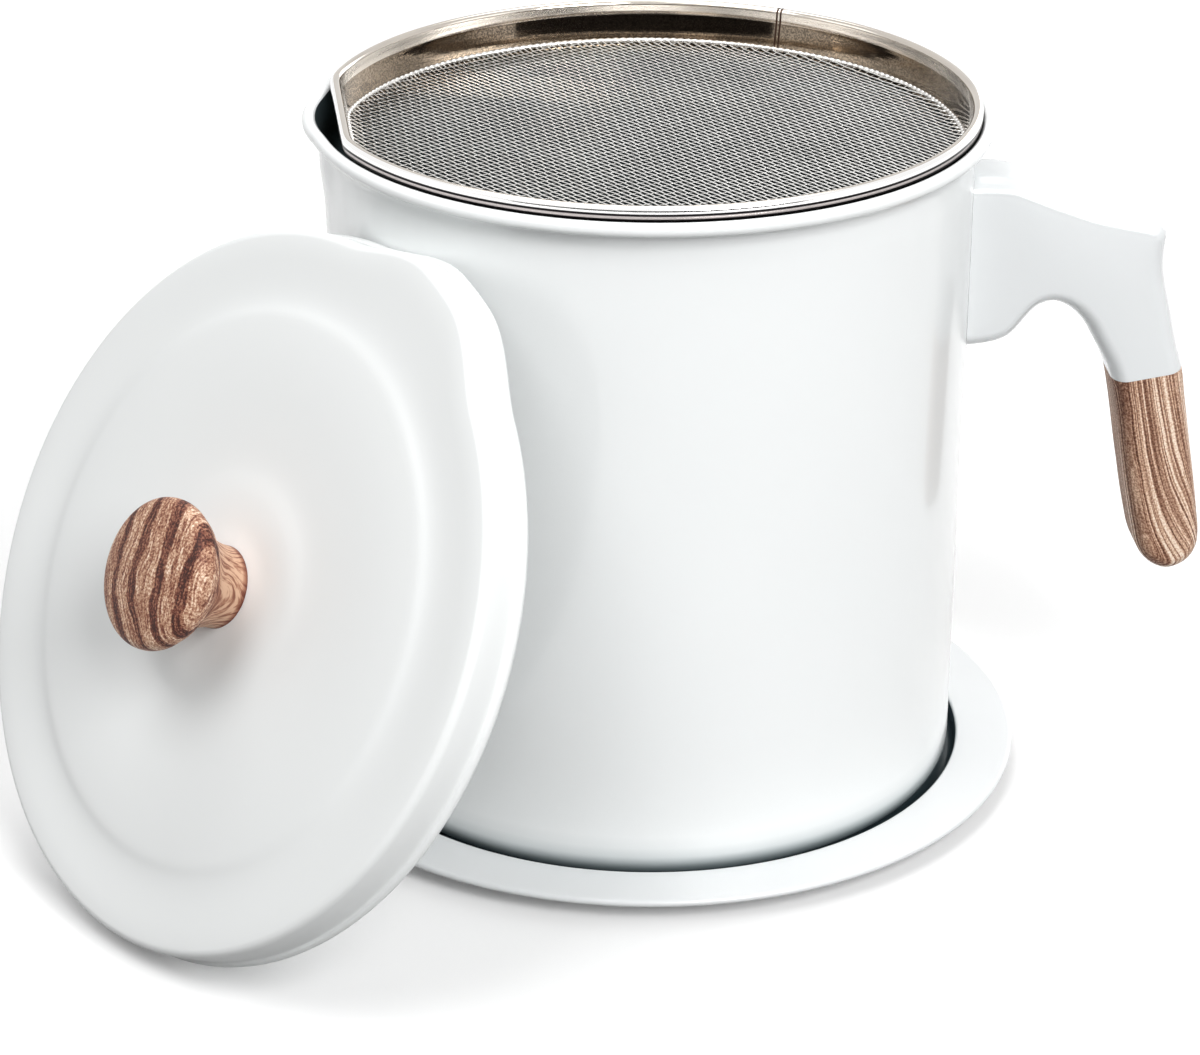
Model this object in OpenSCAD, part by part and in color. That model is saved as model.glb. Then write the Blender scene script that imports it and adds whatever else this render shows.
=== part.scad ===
// Grease keeper: a straight-walled pot with a small pouring lip, a D-shaped strainer
// seated in its rim, a side handle with a wood-look grip, a round lid that leans
// against the pot, and a flat drip tray under the pot.
// Millimetres, +Z up. The origin is on the floor under the pot's axis.
// The handle points along +X, the pouring lip along -X.

/* [Pot] */
// Outside diameter of the straight wall
pot_d = 128; // [120:0.5:136]
// Height of the pot from its base to the top of its rim
pot_h = 139.3; // [125:0.5:150]
// Thickness of the sheet
wall_t = 0.8; // [0.7:0.1:1.2]
// Radius of the rolled bead around the rim
bead_r = 1.35; // [1.2:0.05:1.5]
// How far the pouring lip reaches past the rim
lip_reach = 0.9; // [0.6:0.1:1.6]
// How far the lip's bulge runs down the wall
lip_run = 34; // [26:1:40]

/* [Strainer] */
// Height of the strainer's band under its rolled hem
band_h = 8.5; // [7:0.5:12]
// Height of the rolled hem
hem_h = 3.4; // [3:0.1:4]
// Distance the flat side lies inside the hem's circle
flat_in = 2.95; // [2.2:0.05:3.6]
// Side of one opening of the net
net_gap = 5.6; // [5:0.1:6.4]
// Thickness of the net
net_t = 0.5; // [0.4:0.05:0.8]
// How far the strainer is turned about the pot's axis
strainer_turn = 3; // [-4:1:4]

/* [Lid] */
// Outside diameter of the lid's rolled edge
lid_d = 141.4; // [139:0.2:146]
// Height of the lid from its edge to its flat zone
lid_h = 10; // [9:0.5:13]
// How far the bulge over the lip reaches past the edge
cover_reach = 4.5; // [3.5:0.1:5.5]
// Angle between the lid's axis and the floor while it leans
lean = 26.95; // [24:0.5:32]
// Direction the leaning lid lies in, counted from the handle
lean_side = -144.3; // [-150:1:-130]
// How far the bulge is turned from the top of the leaning lid
lid_turn = 21.2; // [10:1:30]

/* [Knob] */
// Diameter of the knob's head
knob_d = 29; // [26:0.2:32]
// Height of the knob
knob_h = 19.2; // [17:0.1:22]
// Diameter of the knob's foot
foot_d = 16; // [14:0.5:17]

/* [Handle] */
// How far the handle stands out from the wall
handle_reach = 50.8; // [46:0.5:58]
// Width of the handle across its sides
handle_w = 17.4; // [15.5:0.2:20]
// Distance from the pot's rim down to the handle's top
handle_drop = 13.9; // [13:0.1:20]
// Height of the white arm from its top to the grip
arm_drop = 43.1; // [40:0.5:46]
// Length of the grip under the white arm
grip_len = 44; // [38:0.5:50]

/* [Tray] */
// Outside diameter of the tray's flange
tray_d = 154.9; // [148:0.5:164]
// Height of the flange's top above the floor
tray_h = 5; // [4.5:0.1:6]
// Thickness of the tray's sheet
tray_t = 0.9; // [0.8:0.1:1.1]
// Gap between the pot's wall and the tray's recess
tray_gap = 1.65; // [1.2:0.05:2.2]

/* [Hidden] */
pot_r = pot_d / 2;
base_z = tray_t + 0.2;                  // underside of the pot, just over the tray's floor
rim_z = base_z + pot_h - bead_r;        // centre of the rolled bead
rim_c = pot_r + 3.8 - bead_r;           // radius of the bead's centre
in_r = pot_r - wall_t;                  // inside radius of the wall
hem_r = 1;                              // half the hem's width
hem_c = rim_c - bead_r - hem_r + 0.1;   // radius of the hem's centre line
hem_z = rim_z + 1.45;                   // centre of the hem's lower bend
hem_top = hem_z - hem_r + hem_h;
net_z = hem_z - band_h + 1.9;           // underside of the net
band_z = hem_z - band_h - 1;            // lower edge of the band
lid_r = lid_d / 2;
edge_r = 1.2;                           // radius of the lid's rolled edge
knob_z = lid_h + 1.25;                  // foot of the knob over the lid's edge plane
handle_top = base_z + pot_h - handle_drop;
joint_z = handle_top - arm_drop;        // middle of the joint between arm and grip
joint_x = pot_r + 37.5 * handle_reach / 50.8;
grip_tilt = 9.6;                        // lean of the grip away from the pot
plate_w = handle_w * 0.75;              // bracket's plate on the pot's wall
plate_h = arm_drop * 0.645;
plate_t = 1.3;
plate_z = handle_top - arm_drop * 0.715;
tongue_l = 16;                          // bracket's tongue into the arm
tongue_w = 8;
tongue_t = 3;
tongue_z = plate_z + plate_h / 3 - 0.2;
screw_x = pot_r + tongue_l * 0.56;      // handle screw
screw_z = tongue_z - 7.15;              // underside of its head
play = 0.2;                             // play around a fitted piece
above = rim_z + 10;                     // height of a cutter that passes the rim
steel = [0.78, 0.78, 0.76];
white = [0.94, 0.95, 0.95];
wood = [0.62, 0.42, 0.30];
brass = [0.80, 0.66, 0.36];
e = 0.01;

// ---------- shared functions ----------
// smooth step from 0 at a to 1 at b
function step01(x, a, b) = let(t = min(1, max(0, (x - a) / (b - a)))) t * t * (3 - 2 * t);

// pouring lip: radius, at angle p, of the hull of a circle r and a nose circle n whose tip is
// at r + reach
function nose(p, r, reach, n) =
    let(d = r + reach - n, q = min(abs(p), 360 - abs(p)), al = acos((r - n) / d),
        tip = atan2(n * sin(al), d + n * cos(al)))
    q >= al ? r : q <= tip ? d * cos(q) + sqrt(n * n - pow(d * sin(q), 2)) : r / cos(al - q);

// share, at angle p, of the bulge in the lid's edge that passes over the pot's lip
function bump(p) = 1 - step01(min(abs(p), 360 - abs(p)), 4, 22);

// D-shaped outline: radius at angle p of a circle r with a flat at distance r - c
function dee(p, r, c) =
    let(q = min(abs(p), 360 - abs(p)), k = 0.45)
    q > 60 ? r : let(f = (r - c) / cos(q), m = min(r, f))
    m - k * ln(exp((m - r) / k) + exp((m - f) / k));

// angles round the axis, closer together near the lip
angles = concat([for (a = [-25:2.5:25]) a], [for (i = [1:61]) 25 + i * 310 / 62]);

// two triangles for each square between rings of points, ring after ring; the rings
// follow a profile that runs counterclockwise in radius and height
function skin(n, m, wrap) = [for (j = [0:m - (wrap ? 1 : 2)]) for (i = [0:n - 1])
    let(a = j * n + i, b = j * n + (i + 1) % n, c = ((j + 1) % m) * n + (i + 1) % n,
        d = ((j + 1) % m) * n + i) each [[a, c, b], [a, d, c]]];

// points of an arc
function arc(cx, cz, r, a0, a1, n) = [for (i = [0:n]) let(a = a0 + (a1 - a0) * i / n)
    [cx + r * cos(a), cz + r * sin(a)]];

// ---------- tray ----------
module tray() {
    ri = pot_r - 0.2 + tray_gap;
    color(white) rotate_extrude($fn = 144) {
        polygon(concat(
            [[0, 0], [ri - 1.6, 0]], arc(ri - 1.6, 2.4, 2.4, -75, -15, 3),
            [[ri + 0.95, tray_h - tray_t - 0.6], [ri + 1.4, tray_h - tray_t]],
            [[tray_d / 2 - 0.75, tray_h - tray_t], [tray_d / 2 - 0.75, tray_h],
             [ri + 0.9, tray_h]], arc(ri + 0.75, tray_h - 0.6, 0.6, 90, 170, 3),
            [[ri - 0.1, tray_t + 1.4]], arc(ri - 1.6, tray_t + 1.5, 1.5, -15, -90, 4),
            [[0, tray_t]]));
        translate([tray_d / 2 - 0.75, tray_h - 0.75]) circle(r = 0.75, $fn = 24);
    }
}

// ---------- pot ----------
// bulge of the lip down the wall: share of the run, share of the lip's reach
bulge = [[0.25, 0.3], [0.5, 0.62], [0.7, 0.95], [0.84, 1.5]];

// profile of the sheet: radius, height, share of the lip's reach
function pot_profile() = let(rb = pot_r - 0.2, z1 = rim_z - 6, zl = rim_z - lip_run)
    concat(
    [for (p = arc(rb - 5, base_z + 5, 5, -90, 0, 4)) [p[0], p[1], 0]],
    [[pot_r - 0.1, zl - 30, 0], [pot_r, zl, 0]],
    [for (s = bulge) [pot_r, zl + (z1 - zl) * s[0], s[1]]],
    [[pot_r, z1, 1.75], [pot_r + 0.15, z1 + 1.6, 1.7], [pot_r + 0.6, z1 + 3.1, 1.5],
     [pot_r + 1.25, z1 + 4.3, 1.2]],
    [for (p = arc(rim_c, rim_z, bead_r, -120, 165, 7)) [p[0], p[1], 1]],
    [[pot_r + 0.75, z1 + 5.2, 1.1], [pot_r + 0.2, z1 + 4.1, 1.3],
     [pot_r - 0.35, z1 + 2.7, 1.55], [in_r, z1, 1.75]],
    [for (i = [len(bulge) - 1:-1:0]) [in_r, zl + (z1 - zl) * bulge[i][0], bulge[i][1]]],
    [[in_r, zl, 0]],
    [for (p = arc(rb - 5, base_z + 5, 5 - wall_t, 0, -90, 4)) [p[0], p[1], 0]]);

module pot_body() {
    pr = pot_profile();
    n = len(angles);
    m = len(pr);
    top = rim_c + bead_r;
    pts = concat([for (p = pr) for (a = angles)
        let(r = p[0] + p[2] * (nose(a, top, lip_reach, 40) - top))
        [-r * cos(a), -r * sin(a), p[1]]],
        [[0, 0, base_z], [0, 0, base_z + wall_t]]);
    faces = concat(skin(n, m, false),
        [for (i = [0:n - 1]) [n * m, i, (i + 1) % n]],
        [for (i = [0:n - 1]) [n * m + 1, (m - 1) * n + (i + 1) % n, (m - 1) * n + i]]);
    color(white) polyhedron(points = pts, faces = faces, convexity = 6);
}

// ---------- handle ----------
// side outline of arm and grip together: x from the wall, z below the handle's top
side = [[-10, 0], [-4, 0], [2, 0], [5.5, -0.1], [8.5, -0.6], [11, -1.5], [13.5, -2.6],
    [16.5, -3.8], [20, -5.1], [24, -6.6], [28, -7.7], [32, -8.6], [35.7, -9.4], [38.3, -10.5],
    [39.7, -12.7], [39.6, -15.7], [39.5, -19.1], [39.9, -22.3], [40.7, -25.7], [41.6, -29.5],
    [42.5, -33.5], [43.6, -37.8], [44.9, -42.3], [45.9, -48.5], [47, -55], [48.1, -61.5],
    [49.2, -68], [50.2, -74.5], [50.8, -79], [50.6, -82.2], [49.2, -84.9], [46.8, -86.7],
    [44, -87.3], [41.2, -86.3], [39, -84.2], [37.7, -81.5], [36.8, -78], [35.6, -72.5],
    [34.5, -66.5], [33.4, -60.5], [32.4, -54.5], [31.4, -49], [30.4, -44.5], [29.2, -41.3],
    [27.7, -38.4], [26, -35.3], [24.2, -32.1], [22, -29.5], [19.5, -27.7], [17, -27],
    [14.5, -27.7], [12.4, -29.7], [10.5, -32.2], [8.6, -34.1], [6, -35.3], [3, -35.9],
    [-1, -36.2], [-4, -36.2], [-10, -36.2]];

// a point of the outline on the model: the arm's height and the grip's length each have a scale
function side_pt(p) = [pot_r + p[0] * handle_reach / 50.8,
    p[1] > -43.1 ? handle_top + p[1] * arm_drop / 43.1 : joint_z + (p[1] + 43.1) * grip_len / 44];

// handle blank: the side outline stacked across its width, its edges rounded off
module handle_blank() {
    o = [for (p = side) side_pt(p)];
    n = len(o);
    nrm = [for (i = [0:n - 1]) let(d = o[(i + 1) % n] - o[(i + n - 1) % n], l = norm(d))
        [d[1] / l, -d[0] / l]];
    t = [90, 68, 45, 22, 0];
    w = handle_w * 0.29;                // width and depth of the rounded edges
    d = handle_w * 0.19;
    rows = concat([for (a = t) [-(handle_w / 2 - w + w * sin(a)), d * (1 - cos(a))]],
        [for (i = [4:-1:0]) [handle_w / 2 - w + w * sin(t[i]), d * (1 - cos(t[i]))]]);
    m = len(rows);
    pts = [for (r = rows) for (i = [0:n - 1])
        [o[i][0] + nrm[i][0] * r[1], r[0], o[i][1] + nrm[i][1] * r[1]]];
    // each flat side is a strip of triangles between the outline's outer and inner paths
    k = (n - 1) / 2;
    strip = [for (i = [0:k - 2]) each [[i, i + 1, n - 2 - i], [i, n - 2 - i, n - 1 - i]]];
    cap = concat(strip, [[k - 1, k, k + 1]]);
    last = (m - 1) * n;
    polyhedron(points = pts, faces = concat(skin(n, m, false), cap,
        [for (f = cap) [last + f[0], last + f[2], last + f[1]]]), convexity = 6);
}

// places children on the joint between arm and grip, +Z along the grip toward the pot's rim
module at_joint() translate([joint_x, 0, joint_z]) rotate([0, -grip_tilt, 0]) children();

module handle_arm() {
    color(white) union() {
        difference() {
            handle_blank();
            at_joint() translate([-40, -20, -80]) cube([80, 40, 80]);
            cylinder(r = pot_r + 0.1, h = above, $fn = 240);
            intersection() {
                cylinder(r = pot_r + plate_t + 0.1, h = above, $fn = 240);
                translate([0, -plate_w / 2 - play, plate_z - play])
                    cube([pot_r + 5, plate_w + 2 * play, plate_h + 2 * play]);
            }
            translate([pot_r, -tongue_w / 2 - play, tongue_z - play])
                cube([tongue_l + play, tongue_w + 2 * play, tongue_t + 2 * play]);
            translate([screw_x, 0, screw_z - 10]) cylinder(r = 3.7, h = 12.4, $fn = 48);
            translate([screw_x, 0, screw_z]) cylinder(r = 2.25, h = 14, $fn = 48);
        }
        at_joint() translate([-3.5, -4.5, -15]) cube([7, 9, 19]);
    }
}

module handle_grip() {
    color(wood) difference() {
        intersection() {
            handle_blank();
            at_joint() translate([-40, -20, -80.05]) cube([80, 40, 80]);
        }
        at_joint() translate([-3.65, -4.65, -15.3]) cube([7.3, 9.3, 16]);
    }
}

module handle_bracket() {
    color(steel) difference() {
        union() {
            intersection() {
                difference() {
                    cylinder(r = pot_r + plate_t, h = above, $fn = 240);
                    translate([0, 0, -1]) cylinder(r = pot_r + 0.05, h = above + 2, $fn = 240);
                }
                translate([0, -plate_w / 2, plate_z]) cube([pot_r + 5, plate_w, plate_h]);
            }
            translate([pot_r + 0.7, -tongue_w / 2, tongue_z])
                cube([tongue_l - 0.7, tongue_w, tongue_t]);
        }
        translate([screw_x, 0, tongue_z - 1]) cylinder(r = 2.05, h = tongue_t + 2, $fn = 48);
    }
}

module handle_screw() {
    color(steel) translate([screw_x, 0, screw_z]) difference() {
        union() {
            cylinder(r = 3.4, h = 2.3, $fn = 48);
            cylinder(r = 2, h = 13.5, $fn = 48);
        }
        for (a = [0, 90]) rotate([0, 0, a]) translate([-2, -0.4, -e]) cube([4, 0.8, 1.2]);
    }
}

// ---------- strainer ----------
// ring of the strainer: a closed profile carried round the D-shaped outline
module dee_ring(pr) {
    n = len(angles);
    pts = [for (p = pr) for (a = angles) let(r = dee(a, p[0], flat_in))
        [-r * cos(a), -r * sin(a), p[1]]];
    rotate([0, 0, strainer_turn])
        polyhedron(points = pts, faces = skin(n, len(pr), true), convexity = 6);
}

module strainer_band() {
    c = hem_c;
    color(steel) dee_ring(concat(
        [[c - 1.8, band_z], [c - 1.8, band_z + 3.4], [c - 1.2, hem_z - 2], [c - 0.85, hem_z - 0.75]],
        arc(c, hem_z, hem_r, -110, 0, 4), arc(c, hem_top - hem_r, hem_r, 0, 180, 6),
        [[c - 1.1, hem_z + 0.3], [c - 1.55, hem_z - 2.1], [c - 2.25, band_z + 3.4],
         [c - 2.25, band_z]]));
}

// the net inside the band: a flat plate of square openings with a plain edge
module strainer_mesh() {
    r = hem_c - 2.35;
    p = net_gap + 0.9;
    k = ceil(r / p);
    color(steel) rotate([0, 0, strainer_turn]) translate([0, 0, net_z]) linear_extrude(net_t)
        difference() {
            polygon([for (a = angles) let(q = dee(a, r, flat_in)) [-q * cos(a), -q * sin(a)]]);
            intersection() {
                polygon([for (a = angles) let(q = dee(a, r - 1.2, flat_in))
                    [-q * cos(a), -q * sin(a)]]);
                rotate(38) for (i = [-k:k]) for (j = [-k:k])
                    if (norm([i, j]) * p < r + p * 0.4)
                        translate([i * p, j * p]) square(net_gap, center = true);
            }
        }
}

// flat hoop under the net that holds its edge in the band
module strainer_hoop() {
    r = hem_c - 2.35;
    color(steel) dee_ring([[r - 0.6, band_z + 0.3], [r, band_z + 0.3], [r, net_z - 0.05],
        [r - 0.6, net_z - 0.05]]);
}

// ---------- lid ----------
// places children in the lid's frame: +Z along its axis, its lowest edge on the floor
module at_lid() {
    rc = lid_r - edge_r;
    rho = pot_r + 0.35 + edge_r + rc * sin(lean);
    rotate([0, 0, lean_side]) translate([rho, 0, edge_r + rc * cos(lean)])
        rotate([0, 90 - lean, 0]) translate([0, 0, -edge_r]) children();
}

// profile of the lid's sheet: radius, height, share of the bulge
function lid_profile() = let(t = wall_t, s = lid_r - 0.9, b = lid_r - edge_r, k = 1.8)
    concat(
    [[2.3, knob_z - 0.05, 0], [18.5, knob_z - 0.05, 0], [20.5, knob_z - 0.2, 0],
     [23, knob_z - 0.42, 0], [51, lid_h + 0.8, 0], [53, lid_h + 0.62, 0.05],
     [55, lid_h + 0.2, 0.15], [57, lid_h, 0.25], [62, lid_h, 0.7]],
    [for (p = arc(s - k, lid_h - k, k, 90, 0, 4)) [p[0], p[1], 1.1]],
    [[s, 3.4, 1.05], [s, 2.6, 1]],
    [for (p = arc(b, edge_r, edge_r, 72, -190, 6)) [p[0], p[1], 1]],
    [[s - t, 3.6, 1.05]],
    [for (p = arc(s - k, lid_h - k, k - t, 0, 90, 3)) [p[0], p[1], 1.1]],
    [[62, lid_h - t, 0.7], [57, lid_h - t, 0.25], [55, lid_h + 0.2 - t, 0.15],
     [53, lid_h + 0.62 - t, 0.05], [51, lid_h + 0.8 - t, 0], [23, knob_z - 0.42 - t, 0],
     [20.5, knob_z - 0.2 - t, 0], [18.5, knob_z - 0.05 - t, 0], [2.3, knob_z - 0.05 - t, 0]]);

module lid_shell() {
    lp = lid_profile();
    n = len(angles);
    pr = [for (i = [len(lp) - 1:-1:0]) lp[i]];
    pts = [for (p = pr) for (a = angles)
        let(r = p[0] + p[2] * cover_reach * bump(a)) [r * cos(a), r * sin(a), p[1]]];
    color(white) at_lid() rotate([0, 0, 180 - lid_turn])
        polyhedron(points = pts, faces = skin(n, len(pr), true), convexity = 6);
}

// turned knob: a straight foot, a flared stem and a domed head, bored for its insert
module knob() {
    r = knob_d / 2;
    f = foot_d / 2;
    h = knob_h;
    color(wood) at_lid() translate([0, 0, knob_z]) difference() {
        rotate_extrude($fn = 96) polygon([[0, 0], [f, 0], [f, h * 0.08], [f + 0.15, h * 0.16],
            [f + 0.6, h * 0.26], [f + 1.3, h * 0.36], [f + 2.3, h * 0.45], [f + 3.6, h * 0.54],
            [f + 5, h * 0.61], [r - 0.8, h * 0.67], [r - 0.2, h * 0.72], [r, h * 0.78],
            [r - 0.2, h * 0.84], [r - 0.9, h * 0.89], [r - 2.4, h * 0.925], [r - 5, h * 0.955],
            [r - 8, h * 0.98], [r - 11, h * 0.995], [0, h]]);
        translate([0, 0, -e]) cylinder(r = 4.05, h = 8.1, $fn = 48);
        translate([0, 0, -e]) cylinder(r = 2.2, h = 10, $fn = 48);
    }
}

module knob_insert() {
    color(brass) at_lid() translate([0, 0, knob_z + 0.05]) difference() {
        cylinder(r = 4, h = 8, $fn = 48);
        translate([0, 0, -1]) cylinder(r = 2.05, h = 10, $fn = 48);
    }
}

module knob_washer() {
    color(steel) at_lid() translate([0, 0, knob_z - 1.15 - wall_t]) difference() {
        cylinder(r = 6, h = 1, $fn = 64);
        translate([0, 0, -1]) cylinder(r = 2.3, h = 3, $fn = 48);
    }
}

module knob_screw() {
    color(steel) at_lid() translate([0, 0, knob_z - 3.6 - wall_t]) difference() {
        union() {
            cylinder(r = 3.9, h = 2.4, $fn = 48);
            cylinder(r = 2, h = 11.5, $fn = 48);
        }
        for (a = [0, 90]) rotate([0, 0, a]) translate([-2.2, -0.4, -e]) cube([4.4, 0.8, 1.3]);
    }
}

tray();
pot_body();
handle_bracket();
handle_arm();
handle_grip();
handle_screw();
strainer_band();
strainer_mesh();
strainer_hoop();
lid_shell();
knob();
knob_insert();
knob_screw();
knob_washer();
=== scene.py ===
"""Looks of the bacon grease container: enamelled pot, tray and lid, steel strainer with a
woven net, white arm, and wood-look grip and knob. Sizes here are in millimetres, unless a
comment says otherwise, and the pieces are built in metres in the CAD frame."""
import math
import bmesh
import bpy
import numpy as np
from mathutils import Matrix, Vector


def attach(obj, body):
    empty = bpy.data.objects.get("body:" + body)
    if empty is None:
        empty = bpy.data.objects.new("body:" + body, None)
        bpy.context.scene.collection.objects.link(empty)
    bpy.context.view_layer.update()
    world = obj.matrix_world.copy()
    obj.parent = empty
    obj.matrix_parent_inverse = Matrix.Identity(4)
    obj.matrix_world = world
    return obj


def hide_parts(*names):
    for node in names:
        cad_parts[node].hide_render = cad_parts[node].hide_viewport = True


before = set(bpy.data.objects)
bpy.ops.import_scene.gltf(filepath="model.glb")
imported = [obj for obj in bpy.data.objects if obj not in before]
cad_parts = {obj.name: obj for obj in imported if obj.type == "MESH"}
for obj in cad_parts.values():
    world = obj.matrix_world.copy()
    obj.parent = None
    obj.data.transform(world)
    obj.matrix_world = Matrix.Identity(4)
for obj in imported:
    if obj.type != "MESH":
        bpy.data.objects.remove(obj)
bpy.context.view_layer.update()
MM = 0.001

# ---------- sizes repeated from the CAD ----------
POT_R, POT_H, WALL, BEAD_R, BEAD_OUT = 64.0, 139.3, 0.8, 1.35, 3.8
LIP_REACH, LIP_RUN, LIP_NOSE = 0.9, 34.0, 40
BASE_Z, BASE_R, BASE_ROUND = 1.1, POT_R - 0.2, 5
RIM_Z = BASE_Z + POT_H - BEAD_R
RIM_C = POT_R + BEAD_OUT - BEAD_R
IN_R = POT_R - WALL
BAND_H, HEM_H, HEM_R, FLAT_IN, TURN = 8.5, 3.4, 1.0, 2.95, 3.0
HEM_C = RIM_C - BEAD_R - HEM_R + 0.1
HEM_Z = RIM_Z + 1.45
HEM_TOP = HEM_Z - HEM_R + HEM_H
NET_Z = HEM_Z - BAND_H + 1.9
BAND_Z = HEM_Z - BAND_H - 1
LID_R, LID_H, COVER_REACH, EDGE_R, LID_CORNER = 70.7, 10.0, 4.5, 1.2, 1.8
LEAN, LEAN_SIDE, LID_TURN, LEAN_GAP = 26.95, -144.3, 21.2, 0.35
KNOB_Z = LID_H + 1.25
KNOB_R, KNOB_H, FOOT_R, KNOB_BORE = 14.5, 19.2, 8.0, 2.3
HANDLE_W, HANDLE_TOP, WALL_GAP = 17.4, BASE_Z + POT_H - 13.9, 0.1
JOINT_X, JOINT_Z, GRIP_TILT, GRIP_GAP = POT_R + 37.5, HANDLE_TOP - 43.1, 9.6, 0.05
TRAY_R, TRAY_H, TRAY_T, TRAY_GAP, TRAY_EDGE = 77.45, 5.0, 0.9, 1.65, 0.75


# ---------- shared shape functions, the same as in the CAD ----------
def step01(x, a, b):
    """Smooth step from 0 at a to 1 at b."""
    t = np.clip((x - a) / (b - a), 0, 1)
    return t * t * (3 - 2 * t)


def off_axis(p):
    """Angle p in degrees as its distance from 0, up to 180."""
    return np.minimum(np.abs(p) % 360, 360 - np.abs(p) % 360)


def nose(p, r, reach, n):
    """Radius, at angle p in degrees, of the hull of a circle r and a nose circle n."""
    d = r + reach - n
    q = np.radians(off_axis(p))
    al = math.acos((r - n) / d)
    tip = math.atan2(n * math.sin(al), d + n * math.cos(al))
    on_nose = d * np.cos(q) + np.sqrt(np.maximum(n * n - (d * np.sin(q)) ** 2, 0))
    on_side = r / np.cos(al - np.clip(q, tip, al))
    return np.where(q >= al, r, np.where(q <= tip, on_nose, on_side))


def bump(p):
    """Share, at angle p, of the bulge in the lid's edge."""
    return 1 - step01(off_axis(p), 4, 22)


def dee(p, r, c):
    """D-shaped outline: radius at angle p of a circle r with a flat at distance r - c,
    the corners between the two softened."""
    q = off_axis(p)
    soft = 0.45
    f = (r - c) / np.cos(np.radians(np.minimum(q, 60)))
    m = np.minimum(r, f)
    blend = m - soft * np.log(np.exp((m - r) / soft) + np.exp((m - f) / soft))
    return np.where(q > 60, r, blend)


def arc(cx, cz, r, a0, a1, n, *more):
    """Points on an arc from a0 to a1 degrees, each followed by the values in more."""
    t = np.radians(np.linspace(a0, a1, n + 1))
    return [(cx + r * math.cos(a), cz + r * math.sin(a), *more) for a in t]


def refine(rows, k, closed=False):
    """Smooth curve through the rows: Catmull-Rom, k pieces between two rows."""
    p = np.array(rows, float)
    if closed:
        q = np.vstack([p[-1], p, p[0], p[1]])
    else:
        q = np.vstack([2 * p[0] - p[1], p, 2 * p[-1] - p[-2]])
    out = []
    for i in range(1, len(q) - 2):
        a, b, c, d = q[i - 1], q[i], q[i + 1], q[i + 2]
        # chord-length tangents keep long flat pieces from overshooting
        l0, l1, l2 = (max(np.linalg.norm(v[:2]), 1e-6) for v in (b - a, c - b, d - c))
        m1 = ((b - a) / l0 * l1 + (c - b) / l1 * l0) / (l0 + l1) * l1
        m2 = ((c - b) / l1 * l2 + (d - c) / l2 * l1) / (l1 + l2) * l1
        for j in range(k):
            t = j / k
            out.append((2 * t**3 - 3 * t**2 + 1) * b + (t**3 - 2 * t**2 + t) * m1
                       + (-2 * t**3 + 3 * t**2) * c + (t**3 - t**2) * m2)
    if not closed:
        out.append(q[-2])
    return np.array(out)


# ---------- mesh helpers ----------
def mesh_object(name, verts, faces, mats, smooth=True, face_mats=None):
    """Object of points in millimetres. face_mats gives each face's place in mats."""
    me = bpy.data.meshes.new(name)
    me.from_pydata([tuple(v) for v in np.asarray(verts, float) * MM], [], faces)
    for m in mats:
        me.materials.append(m)
    if face_mats is not None:
        me.polygons.foreach_set("material_index", np.asarray(face_mats, np.int32))
    me.polygons.foreach_set("use_smooth", np.full(len(me.polygons), smooth))
    me.update()
    o = bpy.data.objects.new(name, me)
    bpy.context.scene.collection.objects.link(o)
    return o


def ring_faces(n, m, wrap=False, start=0):
    """Quads between m rings of n points each."""
    out = []
    for j in range(m if wrap else m - 1):
        a, b = start + j * n, start + ((j + 1) % m) * n
        out += [(a + i, a + (i + 1) % n, b + (i + 1) % n, b + i) for i in range(n)]
    return out


def capped(rings, z0, z1):
    """Points and faces of a stack of rings. Its first ring is closed to a point on the axis
    at height z0, and its last one to a point at z1."""
    m, n = rings.shape[:2]
    last = (m - 1) * n
    verts = list(rings.reshape(-1, 3)) + [(0, 0, z0), (0, 0, z1)]
    faces = ring_faces(n, m)
    faces += [(n * m, (i + 1) % n, i) for i in range(n)]
    faces += [(n * m + 1, last + i, last + (i + 1) % n) for i in range(n)]
    return verts, faces


def revolve(rows, n):
    """Rings of n points of the rows (radius, height) turned round the axis."""
    t = np.radians(np.arange(n) * 360 / n)
    p = np.array(rows, float)
    return np.stack([p[:, 0:1] * np.cos(t), p[:, 0:1] * np.sin(t), p[:, 1:2] + 0 * t], -1)


def place(o, matrix):
    o.matrix_world = matrix
    bpy.context.view_layer.update()


# ---------- material helpers ----------
def principled(name, **sockets):
    """New material, its node tree and its shader, with these values on the shader."""
    m = bpy.data.materials.new(name)
    m.use_nodes = True
    nt = m.node_tree
    b = next(x for x in nt.nodes if x.type == "BSDF_PRINCIPLED")
    for k, v in sockets.items():
        b.inputs[k.replace("_", " ")].default_value = v
    return m, nt, b


def node(nt, kind, inputs=None, **props):
    """New node with these properties. An input is a number, a colour or a socket."""
    x = nt.nodes.new(kind)
    for k, v in props.items():
        setattr(x, k, v)
    for k, v in (inputs or {}).items():
        if isinstance(v, bpy.types.NodeSocket):
            nt.links.new(v, x.inputs[k])
        else:
            x.inputs[k].default_value = v
    return x


def calc(nt, operation, *terms, **props):
    """Output of a Math node."""
    return node(nt, "ShaderNodeMath", dict(enumerate(terms)), operation=operation,
                **props).outputs[0]


def spread(nt, value, a, b, to_a=0.0, to_b=1.0, **props):
    """The value's range a to b carried to the range to_a to to_b."""
    return node(nt, "ShaderNodeMapRange", {"Value": value, "From Min": a, "From Max": b,
                                           "To Min": to_a, "To Max": to_b}, **props).outputs[0]


def noise(nt, at, scale, detail=2.0, roughness=0.5):
    return node(nt, "ShaderNodeTexNoise", {"Vector": at, "Scale": scale, "Detail": detail,
                                           "Roughness": roughness}).outputs["Fac"]


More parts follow.
